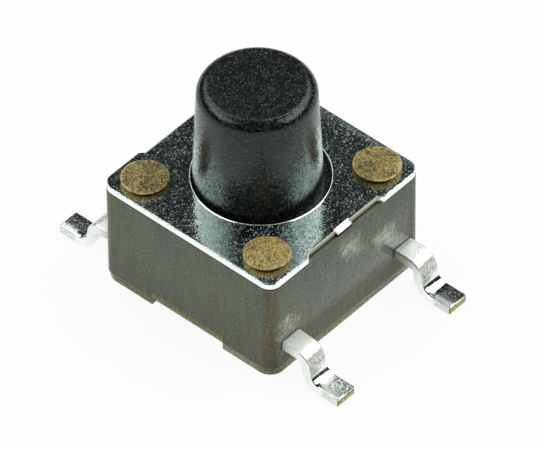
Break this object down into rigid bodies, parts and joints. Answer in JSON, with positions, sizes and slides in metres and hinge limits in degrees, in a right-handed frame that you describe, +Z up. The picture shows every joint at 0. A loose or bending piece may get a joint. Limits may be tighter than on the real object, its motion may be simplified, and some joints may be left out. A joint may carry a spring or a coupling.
{
  "type": "tactile push button switch",
  "caption": "Square surface-mount tactile switch with a tall round button, a staked metal cover and gull-wing leads on two sides.",
  "frame": {"origin": "on the board's surface, under the middle of the switch", "axes": "+X along the leads, +Y along each row of leads, +Z up from the board, along the button's axis"},
  "size_m": [0.0098, 0.006, 0.0067],
  "materials": {
    "housing_plastic": "grey-brown moulded high-temperature plastic, glossy, golden-brown on the staked post heads",
    "cover_steel": "plated steel sheet with a fine pitted grain and bright sheared edges",
    "button_plastic": "black moulded plastic, speckled matte top and satin side",
    "dome_steel": "thin stainless spring steel",
    "plated_brass": "bright tin plating over brass, with the yellow brass showing at the cut ends of the leads"
  },
  "bodies": {
    "base": {"housing": "housing_plastic", "cover": "cover_steel", "snap_dome": "dome_steel", "outer_terminal": "plated_brass", "centre_terminal": "plated_brass"},
    "button": {"button": "button_plastic"}
  },
  "joints": [
    {"name": "button_press", "type": "slide", "parent": "base", "child": "button", "axis": [0, 0, -1], "range_m": [0, 0.00025], "stiffness_N_per_m": 6400, "deforming": ["snap_dome"]}
  ]
}
